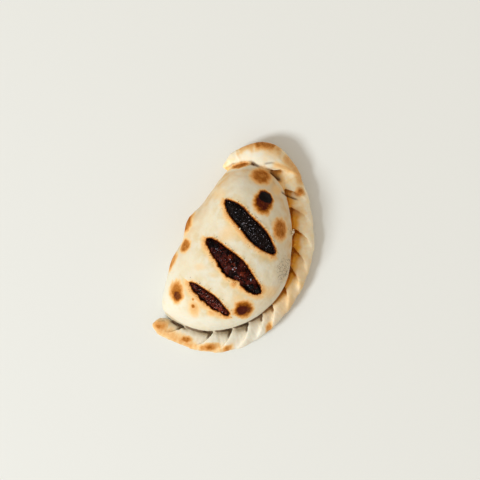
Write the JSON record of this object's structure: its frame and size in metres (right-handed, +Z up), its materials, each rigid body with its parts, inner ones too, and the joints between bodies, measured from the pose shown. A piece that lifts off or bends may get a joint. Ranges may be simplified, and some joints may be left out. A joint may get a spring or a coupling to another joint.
{
  "type": "empanada",
  "caption": "Half-moon baked pie with a rope-folded edge and slits across its domed top that show the dark filling.",
  "frame": {"origin": "under the middle of the object's box, on the surface that it rests on", "axes": "+X along the straight fold side towards the end with the broad folded-over cap, -Y towards the rope edge, +Z up"},
  "size_m": [0.1242, 0.0744, 0.0359],
  "materials": {
    "baked_dough": "pale baked dough, matte to softly satin, with browned and charred blisters",
    "dark_filling": "wet, dark, craggy baked filling with small glints"
  },
  "bodies": {
    "root": {"crust": "baked_dough", "filling": "dark_filling"}
  },
  "joints": []
}
